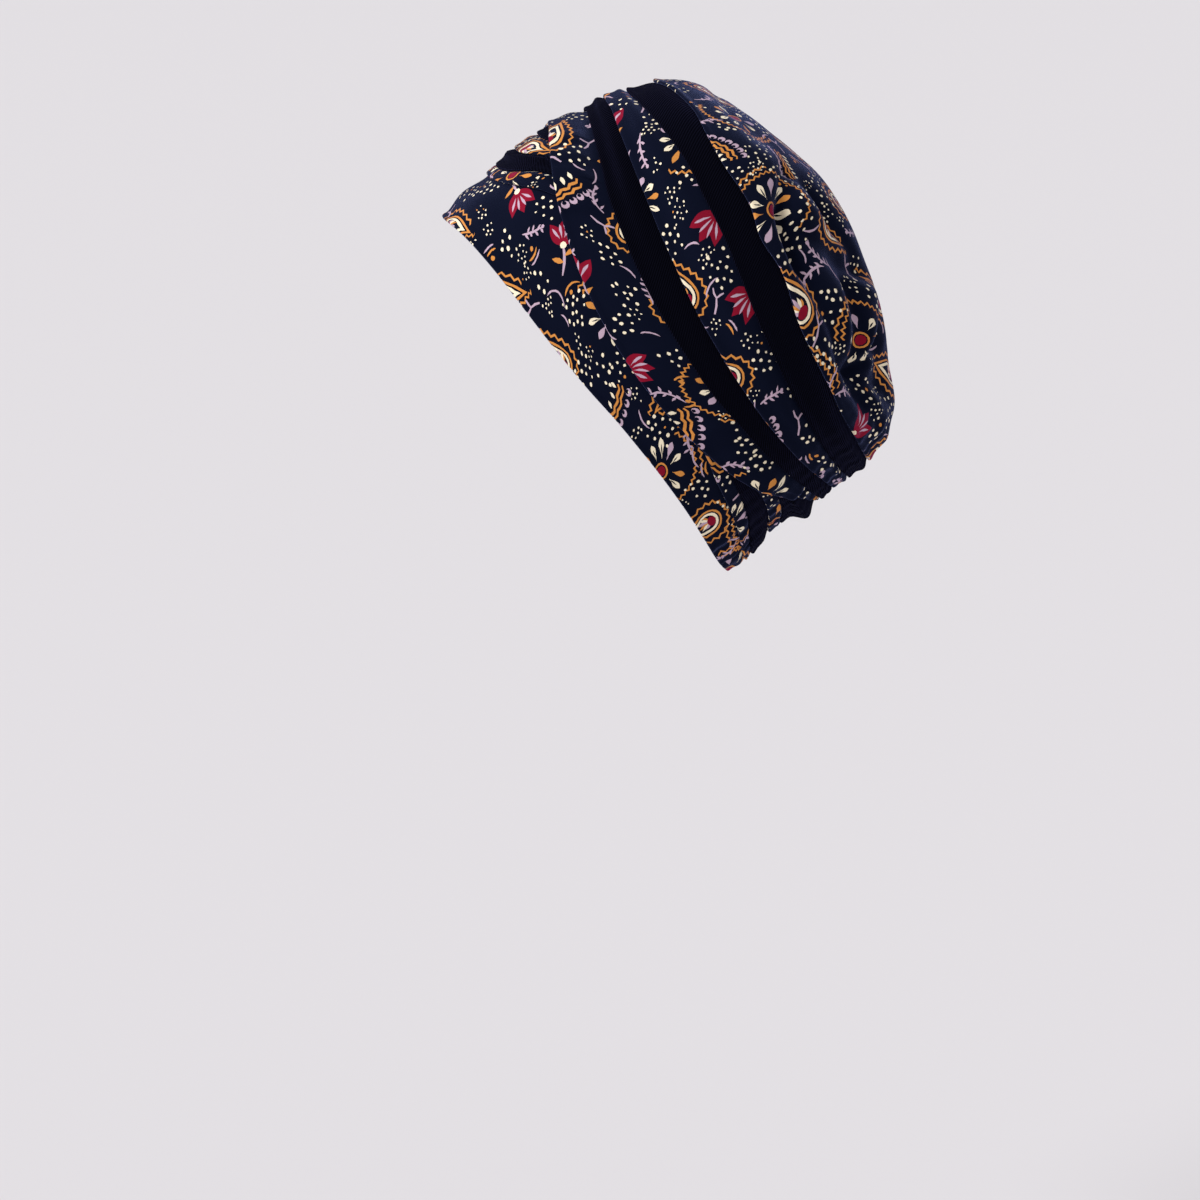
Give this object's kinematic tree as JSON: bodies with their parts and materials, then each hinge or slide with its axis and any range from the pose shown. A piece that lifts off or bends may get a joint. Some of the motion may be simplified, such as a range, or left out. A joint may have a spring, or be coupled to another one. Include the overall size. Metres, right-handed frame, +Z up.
{
  "type": "turban headwrap",
  "caption": "Soft pre-tied turban headwrap: hemmed print band, pleats, side wrap, navy and print bands and a full gathered crown, open below for a head.",
  "frame": {"origin": "the seat inside the top of the wrap, where the top of the head carries it", "axes": "+Z up, the brow toward -Y, the wearer's left toward +X"},
  "size_m": [0.1702, 0.2167, 0.2361],
  "materials": {
    "print_cloth": "matte printed cotton satin, navy ground with small cream, ochre, mauve and burgundy motifs",
    "navy_cloth": "matte navy jersey with a fine diagonal rib"
  },
  "bodies": {
    "root": {"front_band": "print_cloth", "front_sliver": "print_cloth", "front_pleat_navy": "navy_cloth", "front_pleat_print": "print_cloth", "front_tuck_navy": "navy_cloth", "nape_sliver": "print_cloth", "nape_pleat_navy": "navy_cloth", "nape_pleat_print": "print_cloth", "nape_tuck_navy": "navy_cloth", "side_wrap": "print_cloth", "navy_band_front": "navy_cloth", "print_band": "print_cloth", "navy_band_rear": "navy_cloth", "crown": "print_cloth"}
  },
  "joints": []
}
